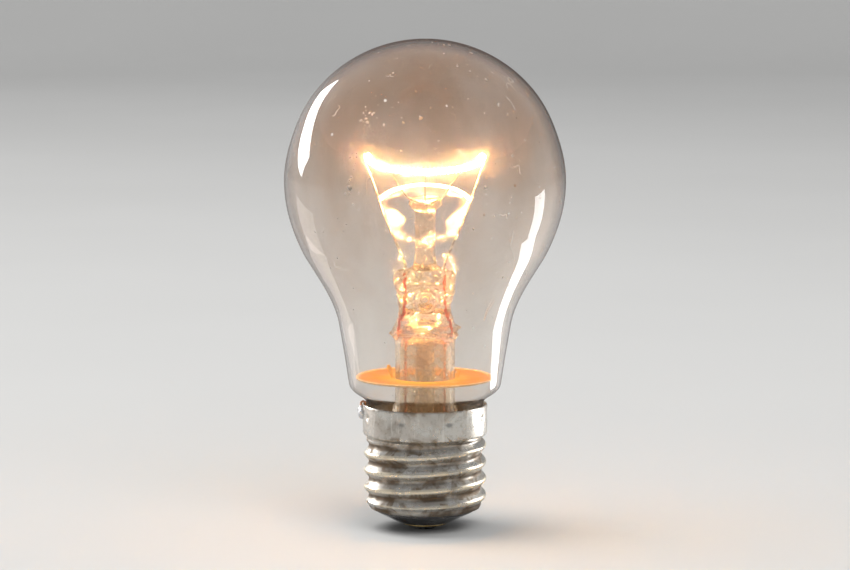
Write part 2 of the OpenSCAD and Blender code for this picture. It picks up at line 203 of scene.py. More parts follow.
def mesh_object(name, finish, points, quads, triangles):
    """A smooth mesh object at the origin, from points and four-sided and three-sided faces."""
    mesh = bpy.data.meshes.new(name)
    mesh.from_pydata(points, [], quads.tolist() + triangles.tolist(), shade_flat=False)
    mesh.validate()
    mesh.materials.append(finish[1])
    return new_object(name, mesh)


def make_piece(name, node, finish, points, quads, triangles):
    """A piece that rides on the bulb and stands for its CAD node, if it has one."""
    piece = mesh_object(name, finish, points, quads, triangles)
    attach(piece, "root")
    if node:
        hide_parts(node)
    return piece


def make_many(name, finish, points, quads, triangles):
    """One piece of many like parts, each a row of points, with the same faces."""
    first = points.shape[1] * np.arange(len(points))[:, None, None]
    make_piece(name, None, finish, points.reshape(-1, 3), (quads + first).reshape(-1, 4),
               (triangles + first).reshape(-1, 3))


def skin_faces(count, around, loop=False):
    """Faces over rows of points, each closed round. Four-sided faces join neighbouring rows. With
    loop the last row joins the first. Without it a fan of triangles closes each end row, to a
    point that comes after the rows' points."""
    i, k = np.arange(count if loop else count - 1)[:, None], np.arange(around)
    after, beside = (i + 1) % count, (k + 1) % around
    quads = stacked(i * around + k, i * around + beside, after * around + beside,
                    after * around + k).reshape(-1, 4)
    if loop:
        return quads, np.zeros((0, 3), int)
    top, end = (count - 1) * around, count * around
    return quads, np.vstack([stacked(beside, k, end), stacked(top + k, top + beside, end + 1)])


def skin(name, node, finish, rows, loop=False):
    """Closed skin over rows of points, shape (rows, around, 3). See skin_faces."""
    points = rows.reshape(-1, 3)
    if not loop:
        points = np.vstack([points, rows[0].mean(0), rows[-1].mean(0)])
    return make_piece(name, node, finish, points, *skin_faces(*rows.shape[:2], loop))


def revolved(name, node, finish, profile, around, loop=False, shape=None):
    """A profile of points (r, z), turned about Z: (r cos a, r sin a, z) for a once round, with
    radii and heights that shape(r, z, a) may change."""
    r, z, a = np.broadcast_arrays(profile[:, :1], profile[:, 1:], once_round(around))
    if shape:
        r, z = shape(r, z, a)
    return skin(name, node, finish, turned(r, z, a), loop)


def tube(name, node, finish, path, radius, side=(0, 1, 0), sides=16):
    """A round wire along a path: each ring is the path's point plus radius times
    (cos a * n + sin a * b), where n is square to the side direction and the path, and b to both.
    Smaller rings and a fan round off each end."""
    along = unit(np.gradient(path, axis=0))
    n = unit(np.cross(np.asarray(side, float), along))
    b = np.cross(along, n)
    radius = np.broadcast_to(radius, len(path)).astype(float)[:, None, None]
    a = once_round(sides)[None, :, None]
    rings = path[:, None] + radius * (np.cos(a) * n[:, None] + np.sin(a) * b[:, None])
    low, mid, high, top = (
        path[end] + share * (rings[end] - path[end]) + reach * radius[end, 0] * along[end]
        for end, share, reach in ((0, 0.3, -0.7), (0, 0.8, -0.45), (-1, 0.8, 0.45), (-1, 0.3, 0.7)))
    skin(name, node, finish, np.concatenate([[low, mid], rings, [high, top]]))


# -------- nodes

bench = {}  # holds the node tree of the material that is being made


class Pattern:
    """A node's output. Each +, - and * with a number or a pattern adds a Math node."""

    def __init__(self, socket):
        self.socket = socket

    def __add__(self, other):
        return maths("ADD", self, other)

    def __sub__(self, other):
        return maths("SUBTRACT", self, other)

    def __rsub__(self, other):
        return maths("SUBTRACT", other, self)

    def __mul__(self, other):
        return maths("MULTIPLY", self, other)


def new_node(kind, sockets, settings):
    """A node of the given kind. A socket takes a pattern, a number, a vector or a colour."""
    node = bench["tree"].nodes.new("ShaderNode" + kind)
    for key, value in settings.items():
        setattr(node, key, value)
    for key, value in sockets.items():
        socket = node.inputs[key]
        if isinstance(value, Pattern):
            bench["tree"].links.new(value.socket, socket)
        else:
            socket.default_value = (*value, 1) if socket.type == "RGBA" else value
    return node


def add(kind, sockets=None, output=0, **settings):
    """One output of a new node."""
    return Pattern(new_node(kind, sockets or {}, settings).outputs[output])


def maths(operation, a, b=0.0, clamp=False):
    """One Math node on two numbers or patterns."""
    return add("Math", {0: a, 1: b}, operation=operation, use_clamp=clamp)


def larger(a, b):
    """The larger of two patterns."""
    return maths("MAXIMUM", a, b)


def spread(value, low, high, to_low=0.0, to_high=1.0):
    """Maps low..high to to_low..to_high, smoothly and held at the ends."""
    return add("MapRange", {0: value, 1: low, 2: high, 3: to_low, 4: to_high},
               interpolation_type="SMOOTHSTEP")


def coats(colour, *layers):
    """A colour under coats, each a factor and the colour where the factor is 1."""
    for factor, coat in layers:
        colour = add("Mix", {0: factor, 6: colour, 7: coat}, 2, data_type="RGBA")
    return colour


def place(scale=(1, 1, 1), offset=(0, 0, 0)):
    """Object coordinates, scaled and moved."""
    return add("Mapping", {"Vector": add("TexCoord", output="Object"), "Scale": scale,
                           "Location": offset})


def reading(axis):
    """The object coordinate X, Y or Z."""
    return add("SeparateXYZ", {0: place()}, axis)


def from_axis():
    """The distance from the Z axis."""
    flat = add("VectorMath", {0: place(), 1: (1, 1, 0)}, operation="MULTIPLY")
    return add("VectorMath", {0: flat}, "Value", operation="LENGTH")


def noise(vector, scale, detail=4.0, distortion=0.0):
    """A noise pattern, from about 0.25 to 0.75."""
    return add("TexNoise", {"Vector": vector, "Scale": scale, "Detail": detail,
                            "Distortion": distortion, "Roughness": 0.55})


def edge_on(low, high):
    """How nearly edge on a surface is seen: 0 up to low and 1 from high, of a whole 1."""
    return spread(add("LayerWeight", {"Blend": 0.5}, "Facing"), low, high)


def bump(height, strength, distance):
    """A shader's normal, from a pattern of heights."""
    return add("Bump", {"Height": height, "Strength": strength, "Distance": distance})


def principled(colour, roughness, **sockets):
    """A Principled shader. Further sockets are named with _ for each space."""
    named = {key.replace("_", " "): value for key, value in sockets.items()}
    return add("BsdfPrincipled", {"Base Color": colour, "Roughness": roughness, **named})


def clear_glass(tint, roughness=0.0, **sockets):
    """A clear, slightly tinted glass shader."""
    return principled(tint, roughness, Transmission_Weight=1.0, IOR=1.5, **sockets)


def mix_shaders(factor, a, b):
    """Shader a where factor is 0 and b where it is 1."""
    return add("MixShader", {0: factor, 1: a, 2: b})


def lets_light_in(shader, tint):
    """The shader, but clear and tinted for light on its way to a lit surface."""
    shadow, diffuse = (add("LightPath", output=f"Is {kind} Ray") for kind in ("Shadow", "Diffuse"))
    return mix_shaders(larger(shadow, diffuse), shader, add("BsdfTransparent", {"Color": tint}))


def make_finish(slot, recipe, *values, name=None):
    """A slot and its node material, with the shader that recipe(*values) returns."""
    material = bpy.data.materials.new(name or slot)
    material.use_nodes = True
    bench["tree"] = material.node_tree
    material.node_tree.nodes.clear()
    new_node("OutputMaterial", {"Surface": recipe(*values)}, {})
    return slot, material


# -------- finishes

def dust_pattern():
    """How much dust lies at a place, 0 to 1. Specks of three sizes lie close to the centres of
    the Voronoi cells whose random colour passes a limit. Hairs are contour lines of a noise."""
    where = place()
    dusty = spread(noise(where, 38.0, 3.0), 0.42, 0.66)
    specks = []
    for scale, size, share in ((620.0, 0.16, 0.86), (270.0, 0.13, 0.9), (120.0, 0.085, 0.93)):
        wobble = add("TexNoise", {"Vector": where, "Scale": scale * 2.2, "Detail": 2.0}, "Color")
        shift = add("VectorMath", {0: wobble, "Scale": 0.35 / scale}, operation="SCALE")
        moved = add("VectorMath", {0: where, 1: shift}, operation="ADD")
        cells = new_node("TexVoronoi", {"Vector": moved, "Scale": scale}, {}).outputs
        near = spread(Pattern(cells["Distance"]), size, size * 0.6)
        chosen = add("SeparateColor", {0: Pattern(cells["Color"])})
        specks.append(near * maths("GREATER_THAN", chosen, share + 0.05 - dusty * 0.12))
    lines = noise(place((1.0, 1.0, 0.55), (0.3, 0.1, 0.2)), 55.0, 2.0, 1.2)
    thin = spread(maths("ABSOLUTE", lines - 0.5), 0.0035, 0.0015)
    sparse = spread(noise(place(offset=(0.5, 0.2, 0.7)), 90.0, 1.0), 0.66, 0.7)
    fine, coarse, coarser = specks
    return larger(larger(larger(fine, coarse), coarser), thin * sparse * 0.7)


def envelope_outside():
    """Blown glass with dust, hairs and finger smudges on it. Where it is seen edge on it is painted
    dark brown, more towards the crown: painted shade that draws a dark outline, partly soot seen
    edge on.
    """
    # Painted shade: the tint turns dark brown where the glass is seen edge on, for a dark outline.
    tint = coats((0.97, 0.955, 0.94), (edge_on(0.74, 0.95), (0.12, 0.055, 0.028)))
    glass = clear_glass(tint, Normal=bump(noise(place((1, 1, 0.4)), 70.0, 2.0), 0.012, 0.2 * MM))
    smudge = spread(noise(place(), 60.0, 5.0, 0.8), 0.5, 0.75)
    cover = larger(dust_pattern() * 0.75, smudge * 0.02)
    dusty = mix_shaders(cover, glass, principled((0.74, 0.7, 0.64), 0.9))
    # Painted shade: a dull dark brown coat where the glass is seen edge on, stronger towards the
    # crown, covers the reflections there and draws a dark outline; partly soot seen edge on.
    smoky = spread(reading("Z"), GLOBE_Z - 10 * MM, CROWN_Z, 0.62, 1.0)
    soot_and_painted_outline = principled((0.045, 0.02, 0.009), 0.6)
    return lets_light_in(mix_shaders(edge_on(0.56, 0.93) * smoky, dusty, soot_and_painted_outline), (0.97, 0.96, 0.94))


def envelope_inside():
    """The inner face of the glass, with the smoky brown film that the filament left on it. The film
    tints the glass, more towards the crown and in blotches, and scatters a little of the filament's
    light, as a bright haze close to it and a warm veil further out. Where the glass is seen edge on
    its tint turns dark brown: partly the film seen edge on, partly painted shade for a dark outline."""
    rise = spread(reading("Z"), RIM_Z + 4 * MM, CROWN_Z)
    blotch = spread(noise(place(), 34.0, 5.0, 0.6), 0.3, 0.72)
    streak = spread(noise(place((1, 1, 0.18)), 90.0, 3.0), 0.35, 0.7, 0.8, 1.2)
    density = maths("MULTIPLY", rise * 0.7 + blotch * 0.3, streak, clamp=True)
    # Painted shade: the dark brown where the glass is seen edge on, also where there is no film,
    # draws a dark outline; partly the film seen edge on.
    tint = coats((0.92, 0.885, 0.84), (density, (0.56, 0.41, 0.29)),
                 (edge_on(0.58, 0.94), (0.15, 0.075, 0.035)))
    glass, haze, veil = (clear_glass(tint, roughness) for roughness in (0.0, 0.27, 0.5))
    glow = add("BsdfTranslucent", {"Color": (0.5, 0.3, 0.18)})
    film = mix_shaders(0.5, principled((0.16, 0.085, 0.045), 0.7), glow)
    clear = mix_shaders(0.035, mix_shaders(0.035, glass, haze), veil)
    return lets_light_in(mix_shaders(density * 0.045 + 0.006, clear, film), (0.93, 0.9, 0.86))


def stem_glass(scatter, scattered):
    """Thick flame-worked glass, faintly amber, with fine waves. Small bubbles in it scatter a share
    of the light, in the colour scattered and more in patches."""
    waves = noise(place((1, 1, 0.5)), 330.0, 3.0)
    glass = clear_glass((0.98, 0.9, 0.76), Normal=bump(waves, 0.4, 0.15 * MM))
    soft = clear_glass((0.98, 0.87, 0.68), 0.3, Normal=bump(waves, 0.6, 0.15 * MM))
    patch = spread(noise(place(), 420.0, 5.0, 0.7), 0.42, 0.68)
    softened = mix_shaders(patch * 0.15 + 0.06, glass, soft)
    seeds = add("BsdfTranslucent", {"Color": scattered})
    seeded = mix_shaders(patch * (3.5 * scatter) + scatter, softened, seeds)
    return lets_light_in(seeded, (0.98, 0.95, 0.92))


def glowing_tungsten():
    """Glowing tungsten, more orange close to its ends, where the leads draw heat away. It shows its
    full glare in polished glass, and gives matt surfaces no more light than suits the studio's."""
    outward = maths("ABSOLUTE", reading("X"))
    cool = spread(outward, FILAMENT_HALF - 1.6 * MM, FILAMENT_HALF + 0.2 * MM)
    sharp = add("LightPath", output="Is Singular Ray")
    return principled((0.1, 0.09, 0.08), 0.5,
                      Emission_Color=coats((1.0, 0.62, 0.27), (cool, (1.0, 0.36, 0.08))),
                      Emission_Strength=sharp * (FILAMENT_GLARE - FILAMENT_LIGHT) + FILAMENT_LIGHT)


def worn_metal(colour, stain, roughness, scale=900.0, height=0.02):
    """Worn bare metal: colour with blotches of the stain colour, uneven roughness, fine bump."""
    where = place()
    blotch = spread(noise(where, scale, 6.0, 0.4), 0.45, 0.7)
    rough = spread(noise(where, scale * 1.7, 3.0), 0.3, 0.7, roughness * 0.75, roughness * 1.35)
    return principled(coats(colour, (blotch, stain)), rough, Metallic=1.0,
                      Normal=bump(noise(where, scale * 4, 4.0), 0.3, height * MM))


def molybdenum():
    """Molybdenum wire: grey, straw-brown with heat oxide towards the filament."""
    hot = spread(reading("Z"), BUTTON_TOP, FILAMENT_Z - FILAMENT_SAG)
    patch = spread(noise(place(), 1500.0, 3.0), 0.4, 0.65)
    colour = coats((0.42, 0.4, 0.38), (patch, (0.3, 0.27, 0.24)), (hot, (0.5, 0.3, 0.14)))
    return principled(colour, 0.38, Metallic=1.0)


def amber_mica():
    """Amber mica: deep orange, a little paler in flaky patches and fine scales, with a pale rim,
    and painted light: paler and yellower close to the stem, where the stem glass gathers the
    filament's light.
    """
    where, out = place(), from_axis()
    flakes = spread(noise(place((1, 1, 6)), 170.0, 5.0, 0.6), 0.38, 0.7)
    scales = spread(noise(where, 1400.0, 4.0), 0.55, 0.75)
    # Painted light: a pale yellow pool close to the stem, for the filament's light that the stem
    # glass gathers.
    painted_glow_near_stem = spread(out, DISC_R * 0.82, STEM_R)
    rim = spread(out, DISC_R - 0.75 * MM, DISC_R - 0.35 * MM)
    chips = spread(noise(where, 700.0, 3.0), 0.35, 0.6, 0.5, 1.0)
    colour = coats((0.55, 0.185, 0.001), (flakes, (0.66, 0.27, 0.002)),
                   (scales * 0.25, (0.78, 0.34, 0.03)), (painted_glow_near_stem * 0.7, (0.85, 0.45, 0.05)),
                   (rim * chips, (0.9, 0.62, 0.33)))
    return principled(colour, spread(flakes, 0.0, 1.0, 0.3, 0.5), Specular_IOR_Level=0.04,
                      Normal=bump(flakes, 0.2, 0.05 * MM))


def cap_metal():
    """Drawn cap sheet: satin grey, brassy on the thread's crests, with brown grime in the roots,
    fine scratches round the thread, scuffs, specks and stains on the collar."""
    where, out, height = place(), from_axis(), reading("Z")
    patch = noise(where, 160.0, 6.0, 0.5)
    speck = spread(noise(where, 1500.0, 5.0), 0.52, 0.7)
    scratch = noise(place((0.12, 0.12, 9.0)), 420.0, 6.0, 0.2)
    scuff = spread(noise(place((5.0, 5.0, 0.7)), 160.0, 6.0, 0.6), 0.55, 0.68)
    crest = (spread(out, THREAD_R - 0.3 * MM, THREAD_R - 0.06 * MM)
             * spread(patch, 0.35, 0.6, 0.3, 1.0)
             * spread(height, COLLAR_Z + 0.4 * MM, COLLAR_Z - 0.6 * MM))
    root = (spread(out, ROOT_R + 0.45 * MM, ROOT_R + 0.02 * MM)
            * spread(patch, 0.3, 0.62, 0.25, 0.9))
    edge = larger(spread(height, RIM_Z - 1.6 * MM, RIM_Z),
                  spread(height, COLLAR_Z + 1.4 * MM, COLLAR_Z + 0.3 * MM))
    stain = spread(noise(where, 330.0, 6.0, 1.0), 0.46, 0.66) * (edge * 0.6 + 0.22)
    colour = coats((0.56, 0.54, 0.5), (spread(patch, 0.35, 0.7), (0.44, 0.41, 0.37)),
                   (scuff * 0.5, (0.72, 0.7, 0.66)), (stain, (0.2, 0.15, 0.1)),
                   (speck * 0.3, (0.16, 0.12, 0.08)), (crest, (0.74, 0.66, 0.52)),
                   (root, (0.12, 0.085, 0.055)))
    rough = spread(patch, 0.3, 0.7, 0.2, 0.4) + larger(root, stain) * 0.3 - crest * 0.08
    return principled(colour, rough, Metallic=1.0,
                      Normal=bump(scratch + patch * 0.6 + scuff * 0.25, 0.35, 0.05 * MM))


def black_glass():
    """Glossy black glass with faint flow marks and dust."""
    where = place()
    dusty = spread(noise(where, 420.0, 6.0), 0.5, 0.75)
    return principled(coats((0.012, 0.011, 0.013), (dusty, (0.06, 0.052, 0.045))),
                      spread(dusty, 0.0, 1.0, 0.09, 0.4), Coat_Weight=0.3, IOR=1.55,
                      Normal=bump(noise(where, 240.0, 3.0), 0.3, 0.15 * MM))


def cement():
    """Baked basing cement: sandy, porous and matt."""
    grain = noise(place(), 1300.0, 5.0)
    return principled(coats((0.5, 0.42, 0.3), (spread(grain, 0.35, 0.65), (0.72, 0.65, 0.52))), 0.9,
                      Normal=bump(grain, 0.5, 0.15 * MM))


def dust():
    """Pale household dust, a little uneven in colour, that also lets some light through."""
    tint = spread(noise(place(), 300.0, 2.0), 0.35, 0.65)
    colour = coats((0.86, 0.8, 0.76), (tint, (0.6, 0.52, 0.45)))
    return mix_shaders(0.5, principled(colour, 0.9), add("BsdfTranslucent", {"Color": colour}))


def floor_paint():
    """Pale matt paint, very slightly uneven."""
    tint = spread(noise(place(), 3.0, 3.0), 0.3, 0.7)
    return principled(coats((0.6, 0.595, 0.58), (tint, (0.62, 0.615, 0.6))), 0.9,
                      Specular_IOR_Level=0.0)


OUTSIDE = make_finish("bulb_glass", envelope_outside, name="bulb_glass_outside")
INSIDE = make_finish("bulb_glass", envelope_inside, name="bulb_glass_inside")
STEM = make_finish("stem_glass", stem_glass, 0.05, (0.95, 0.6, 0.27))
EXHAUST = make_finish("stem_glass", stem_glass, 0.19, (1.0, 0.84, 0.58), name="exhaust_glass")
TUNGSTEN, MOLYBDENUM, MICA, CAP_METAL, BLACK_GLASS, CEMENT = (
    make_finish(recipe.__name__, recipe)
    for recipe in (glowing_tungsten, molybdenum, amber_mica, cap_metal, black_glass, cement))
NICKEL, COATED, COPPER, BRASS, SOLDER = (
    make_finish(slot, worn_metal, *values) for slot, *values in (
        ("nickel", (0.66, 0.6, 0.5), (0.4, 0.33, 0.24), 0.26),
        ("coated_wire", (0.72, 0.16, 0.07), (0.38, 0.06, 0.03), 0.35, 1200.0),
        ("copper", (0.86, 0.44, 0.26), (0.42, 0.2, 0.1), 0.3),
        ("contact_brass", (0.76, 0.58, 0.27), (0.36, 0.24, 0.1), 0.3, 500.0),
        ("solder", (0.6, 0.6, 0.61), (0.3, 0.29, 0.28), 0.4, 700.0, 0.05)))
DUST = make_finish("cement", dust, name="dust")
FLOOR = make_finish(None, floor_paint, name="floor")


# -------- envelope

def envelope_side(inset):
    """Outline (r, z) of the envelope from crown to seal, inset from the outside: an arc of the
    globe, a cubic curve down the waist, another that turns in to the tail, and the tail."""
    r = GLOBE_R - inset
    a = np.linspace(QUARTER, -GLOBE_TURN, 92)
    globe = stacked(r * np.cos(a), GLOBE_Z + r * np.sin(a))
    low = globe[-1]
    neck = np.array([NECK_R - inset, NECK_Z])
    tail = np.array([TAIL_R - inset, TAIL_TOP])
    down = np.array([math.sin(GLOBE_TURN), math.cos(GLOBE_TURN)])
    taper = np.array([math.sin(NECK_TAPER), math.cos(NECK_TAPER)])
    reach, bend = np.linalg.norm(low - neck) * 0.38, 2.6 * MM
    waist = bezier([low, low - reach * down, neck + reach * taper, neck], 56)
    turn_in = bezier([neck, neck - bend * taper, tail + [0, bend], tail], 26)
    return np.vstack([globe, waist, turn_in, [[TAIL_R - inset, SEAL_Z]]])


def make_envelope():
    """Outer and inner walls as one closed skin of revolution. As in blown glass, both together
    swell and shrink with height, by size * exp(-((z - middle) / width)^2), which breaks the
    filament's reflections into ribbons, and each wavers by itself by hundredths of a millimetre."""
    around = 256
    outer, inner = envelope_side(0.0), envelope_side(GLASS_WALL)
    profile = np.vstack([outer[::-1], inner])
    profile[:, 0] = np.maximum(profile[:, 0], CENTRE)
    is_inner = (np.arange(len(profile)) >= len(outer))[:, None]
    swells = ((0.5, 56, 5), (-0.2, 46, 3.5), (-0.3, 85, 6))  # size, middle and width, in mm

    def waver(r, z, a):
        fade = ease(r, 0.5 * MM, 8 * MM) * ease(z, NECK_Z - 2 * MM, NECK_Z + 6 * MM)
        outside = ripple(np.cos(a) + z * 60, np.sin(a) * 1.4 + z * 25, 3, 2)
        inside = ripple(np.cos(a) * 1.3 + z * 90, np.sin(a) * 1.7 - z * 50, 4, 2)
        swell = sum(size * MM * hump(z, middle * MM, width * MM) for size, middle, width in swells)
        swell = swell * ease(z, NECK_Z + 3.5 * MM, NECK_Z + 13.5 * MM)
        swell = swell * (1 - ease(z, CROWN_Z - 9 * MM, CROWN_Z - 1 * MM))
        return r + swell + np.where(is_inner, inside * 0.012, outside * 0.014) * MM * fade, z

    mesh = revolved("envelope", "glass_envelope", OUTSIDE, profile, around, shape=waver).data
    mesh.materials.append(INSIDE[1])
    # The walls' faces come first, from the outside, then the fan of the outer end and the inner
    last_wall = (len(profile) - 1) * around
    slots = np.zeros(len(mesh.polygons), dtype=np.int32)
    slots[(len(outer) - 1) * around:last_wall] = 1
    slots[last_wall + around:] = 1
    mesh.polygons.foreach_set("material_index", slots)


# -------- stem, rod, exhaust tube

def make_stem():
    """Flare, tube, shoulder and press as one closed skin. Each row is a superellipse
    (a cos^p, b sin^p) whose half width a, half depth b and squareness change with height, so that
    the round tube pinches into the flat press, with its port, flow line and melted top."""
    bore, flare_h, top_round = STEM_R - STEM_WALL, 7 * MM, 1.7 * MM
    a = np.linspace(0, QUARTER, 26)
    flare_out = stacked(STEM_R + (FLARE_R - STEM_R) * (1 - np.sin(a)),
                        SEAL_Z + flare_h * (1 - np.cos(a)))
    flare_in = flare_out - [STEM_WALL, 0]
    dome = [[CENTRE, SHOULDER_Z + 1.6 * MM], [bore * 0.5, SHOULDER_Z + 1.55 * MM],
            [bore * 0.8, SHOULDER_Z + 1.1 * MM], [bore * 0.97, SHOULDER_Z + 0.1 * MM],
            [bore, SHOULDER_Z - 1.2 * MM]]
    flared = np.vstack([smooth_path(dome, 6)[:-1], flare_in[::-1], flare_out])
    tube_z = np.linspace(SEAL_Z + flare_h, SHOULDER_Z, 30)[1:]
    press_z = np.linspace(SHOULDER_Z, PRESS_TOP - top_round, 190)[1:]
    round_a = np.linspace(0, QUARTER, 20)[1:]
    shrink = np.linspace(1, 0.01, 26)[1:]
    top_z = np.concatenate([PRESS_TOP - top_round + top_round * np.sin(round_a),
                            np.full(len(shrink), PRESS_TOP)])

    z = np.concatenate([flared[:, 1], tube_z, press_z, top_z])
    r = np.full(len(z), STEM_R)
    r[:len(flared)] = flared[:, 0]
    outside = np.arange(len(z)) >= len(flared)
    bulge = r + 0.65 * MM * hump(z, SHOULDER_Z + 1.7 * MM, 1.5 * MM) * outside
    pinch = ease(z, SHOULDER_Z + 2.3 * MM, PRESS_BOTTOM + 2.6 * MM) * outside
    widening = ease(z, PRESS_BOTTOM + 1 * MM, PRESS_TOP - 1 * MM) * outside
    half_w = bulge - pinch * 0.95 * MM + 1.25 * MM * widening
    half_d = bulge * (1 - pinch) + PRESS_T / 2 * pinch

    inset, scale = np.zeros(len(z)), np.ones(len(z))
    inset[-len(top_z):-len(shrink)] = top_round * (1 - np.cos(round_a))
    inset[-len(shrink):] = top_round
    scale[-len(shrink):] = shrink

    t = once_round(224)
    c, s = np.cos(t), np.sin(t)
    z, pinched, outside = z[:, None], pinch[:, None], outside[:, None]
    power = 1 - 0.42 * pinched
    x = ((half_w - 1.5 * inset) * scale)[:, None] * np.sign(c) * np.abs(c) ** power
    y = ((half_d - 0.6 * inset) * scale)[:, None] * np.sign(s) * np.abs(s) ** power

    # lumps of the melted press, strongest at its top
    upper = ease(z, PRESS_TOP - 4.5 * MM, PRESS_TOP) * pinched
    lump = ripple(x * 1500, z * 900, 7, 3)
    y = y + np.sign(y) * (0.2 + 0.38 * upper) * MM * lump * pinched
    x = x + 0.3 * MM * ripple(z * 1300, y * 500, 8, 3) * pinched * ease(np.abs(x), 3 * MM, 6 * MM)
    near_top = ease(z, PRESS_TOP - 2 * MM, PRESS_TOP)
    z = z + 0.5 * MM * ripple(x * 1100 + 1, y * 900, 9, 3) * near_top
    z = z + (0.9 * MM * hump(x, 0, 2.8 * MM) - 0.35 * MM) * near_top

    # the port on both faces, its raised ring, the arched line above it and the fold below
    away = np.hypot(x, z - PORT_Z)
    face = pinched * ease(np.abs(y), 0.8 * MM, 1.6 * MM)
    dish = -1.75 * MM * (1 - ease(away, 0.95 * MM, 1.75 * MM))
    ring = 0.42 * MM * hump(away, 2.15 * MM, 0.4 * MM)
    arch_z = PORT_Z + 3.2 * MM - 0.05 * (x / MM) ** 2 * MM
    arch = -0.22 * MM * hump(z, arch_z, 0.3 * MM) * (np.abs(x) < 4.4 * MM)
    fold_z = SHOULDER_Z + 3.6 * MM + 0.03 * (x / MM) ** 2 * MM
    fold = 0.35 * MM * hump(z, fold_z, 0.35 * MM)
    y = y + np.sign(y) * ((dish + ring + arch) * face + fold * pinched)

    # melted rings and ragged lumps round the shoulder
    collar = hump(z, SHOULDER_Z + 1.2 * MM, 1.3 * MM) * outside
    wrinkle = 1 + 0.034 * ripple(z * 3200, t + z * 100, 11, 2) * collar
    lump_z = SHOULDER_Z + 1.5 * MM + 0.9 * MM * np.sin(3 * t + 1)
    ragged = np.maximum(np.sin(7 * t + 2 * np.sin(2 * t)), 0) ** 3
    wrinkle = wrinkle + 0.14 * ragged * hump(z, lump_z, 0.5 * MM) * outside
    skin("stem", "stem_glass", STEM, stacked(x * wrinkle, y * wrinkle, z))


def make_rod():
    """Glass rod and its button: a profile of revolution, slightly uneven, with a swollen foot
    where it was melted into the press."""
    foot_z, rod_top = PRESS_TOP - 0.35 * MM, BUTTON_TOP - BUTTON_H
    z = np.linspace(foot_z, rod_top - 0.5 * MM, 60)
    rod = stacked(ROD_R + 0.9 * MM * np.exp(-(z - foot_z) / (1.1 * MM)), z)
    round_r = BUTTON_H * 0.46
    a = np.linspace(-QUARTER, QUARTER, 30)
    edge = stacked(BUTTON_R - round_r + round_r * np.cos(a),
                   BUTTON_TOP - BUTTON_H / 2 + BUTTON_H / 2 * np.sin(a))
    top = stacked(np.linspace(BUTTON_R - round_r, CENTRE, 14)[1:], BUTTON_TOP)

    def uneven(r, z, a):
        melted = ease(z, rod_top - 1 * MM, rod_top + 0.6 * MM)
        swell = ripple(np.cos(a) * 1.6 + z * 300, np.sin(a) * 1.8, 21, 3)
        lift = ripple(r * np.cos(a) * 700, r * np.sin(a) * 700, 22, 2)
        return r * (1 + (0.012 + 0.025 * melted) * swell), z + 0.12 * MM * melted * lift

    revolved("rod_and_button", "arbor_rod", STEM, np.vstack([[[CENTRE, foot_z]], rod, edge, top]),
             128, shape=uneven)


def make_exhaust_tube():
    """Narrow glass tube with a drawn and melted tip: outer and inner walls as one closed skin."""
    (_, _, tip), (r, _, top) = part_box("exhaust_tube")
    bore = r - 0.6 * MM
    outer = smooth_path([[CENTRE, tip], [0.55 * MM, tip + 0.15 * MM], [0.8 * MM, tip + 0.9 * MM],
                         [1.3 * MM, tip + 2.4 * MM], [r, tip + 4.4 * MM], [r, tip + 8 * MM],
                         [r, top]], 9)
    inner = smooth_path([[bore, top], [bore, tip + 8 * MM], [bore, tip + 4.6 * MM],
                         [0.6 * MM, tip + 2.6 * MM], [CENTRE, tip + 1.7 * MM]], 9)
    revolved("exhaust_pipe", "exhaust_tube", EXHAUST, np.vstack([outer, inner]), 96)


# -------- filament and wires

def filament_line(a):
    """Middle line of the filament at the angles a: an ellipse in plan, sagging with |sin a|."""
    return stacked(FILAMENT_HALF * np.cos(a), FILAMENT_BOW * np.sin(a),
                   FILAMENT_Z - FILAMENT_SAG * np.abs(np.sin(a)))


def make_filament_coil():
    """A coil of coils. The strand winds round the middle line as line + wind * (cos w n + sin w b),
    and its radius swells once for each turn of the fine wire that it is made of:
    STRAND_R * (1 + 0.13 cos(around - fine turns))."""
    past_hook = math.radians(4)
    steps, sides, fine_per_turn = 64, 12, 16
    turns = round(math.pi * (FILAMENT_HALF + FILAMENT_BOW) / 2 / COIL_PITCH)
    i = np.arange(turns * steps + 1)
    a = math.pi - past_hook + (math.pi + 2 * past_hook) * i / (turns * steps)
    along = unit(filament_line(a + 0.01) - filament_line(a - 0.01))
    n = unit(np.cross([0.0, 0.0, 1.0], along))
    w = (TAU * i / steps)[:, None]
    out = np.cos(w) * n + np.sin(w) * np.cross(along, n)
    wind = (COIL_R - STRAND_R) * (1 + 0.05 * ripple(i * 0.011, i * 0.004, 31, 2))[:, None]
    centre = filament_line(a) + wind * out
    k = -once_round(sides)[:, None]
    strand = STRAND_R * (1 + 0.13 * np.cos(-k - fine_per_turn * w[:, None]))
    skin("filament_coil", "filament", TUNGSTEN,
         centre[:, None] + strand * (np.cos(k) * out[:, None] + np.sin(k) * along[:, None]))


def make_support(name, angle):
    """Support wire from inside the button, up along a bent path in an upright plane, to an open
    eye round the filament."""
    x, y, z = filament_line(math.radians(angle))
    turn = math.atan2(y, x)
    end = np.array([math.hypot(x, y), z])
    root = np.array([BUTTON_R - 1.7 * MM, BUTTON_TOP - BUTTON_H / 2])
    elbow = np.array([end[0] * 0.55, root[1] + 1.6 * MM])
    eye = hook(end, COIL_R + SUPPORT_R + 0.05 * MM, elbow, 300)
    bend = smooth_path([root, root + 0.8 * (elbow - root), elbow + 0.15 * (eye[0] - elbow),
                        elbow + 0.6 * (eye[0] - elbow), eye[0]], 8)
    tube("support_" + name, "support_wire_" + name, MOLYBDENUM,
         turned(*np.vstack([bend, eye[1:]]).T, turn), SUPPORT_R,
         side=(-math.sin(turn), math.cos(turn), 0), sides=14)


